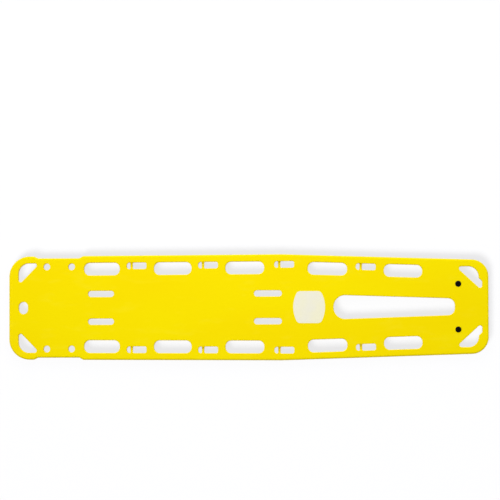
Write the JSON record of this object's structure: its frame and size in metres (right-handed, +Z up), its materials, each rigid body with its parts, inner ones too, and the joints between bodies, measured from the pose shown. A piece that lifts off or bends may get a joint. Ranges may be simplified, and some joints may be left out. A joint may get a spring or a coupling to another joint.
{
  "type": "spine board",
  "caption": "Long flat rescue board with a hand-hole rim, strap pins in its side slots, open centre slots, runners underneath and rubber wedges at the foot end.",
  "frame": {"origin": "middle of the footprint, at the level of the lowest point of the rubber wedges", "axes": "+X from the head end to the foot end, +Y to the patient's left, +Z up out of the deck"},
  "size_m": [1.83, 0.405, 0.0487],
  "materials": {
    "yellow_hdpe": "semi-gloss, fine moulded grain",
    "rigid_foam": "cut foam",
    "fibre_rod": "pultruded",
    "pin_nylon": "smooth",
    "black_rubber": "matt, fine grain",
    "black_screw": "black coated",
    "plated_steel": "zinc plated",
    "label_film": "bare film, nothing printed"
  },
  "bodies": {
    "root": {"board_shell": "yellow_hdpe", "foam_core": "rigid_foam", "foam_fill_plug": "yellow_hdpe", "label_plate": "label_film", "stiffener_rod_left": "fibre_rod", "skid_foot_left": "black_rubber", "skid_nut_left": "plated_steel", "skid_screw_left": "black_screw", "stiffener_rod_right": "fibre_rod", "skid_foot_right": "black_rubber", "skid_nut_right": "plated_steel", "skid_screw_right": "black_screw", "strap_pin_left_1": "pin_nylon", "strap_pin_left_2": "pin_nylon", "strap_pin_left_3": "pin_nylon", "strap_pin_left_4": "pin_nylon", "strap_pin_right_1": "pin_nylon", "strap_pin_right_2": "pin_nylon", "strap_pin_right_3": "pin_nylon", "strap_pin_right_4": "pin_nylon"}
  },
  "joints": []
}
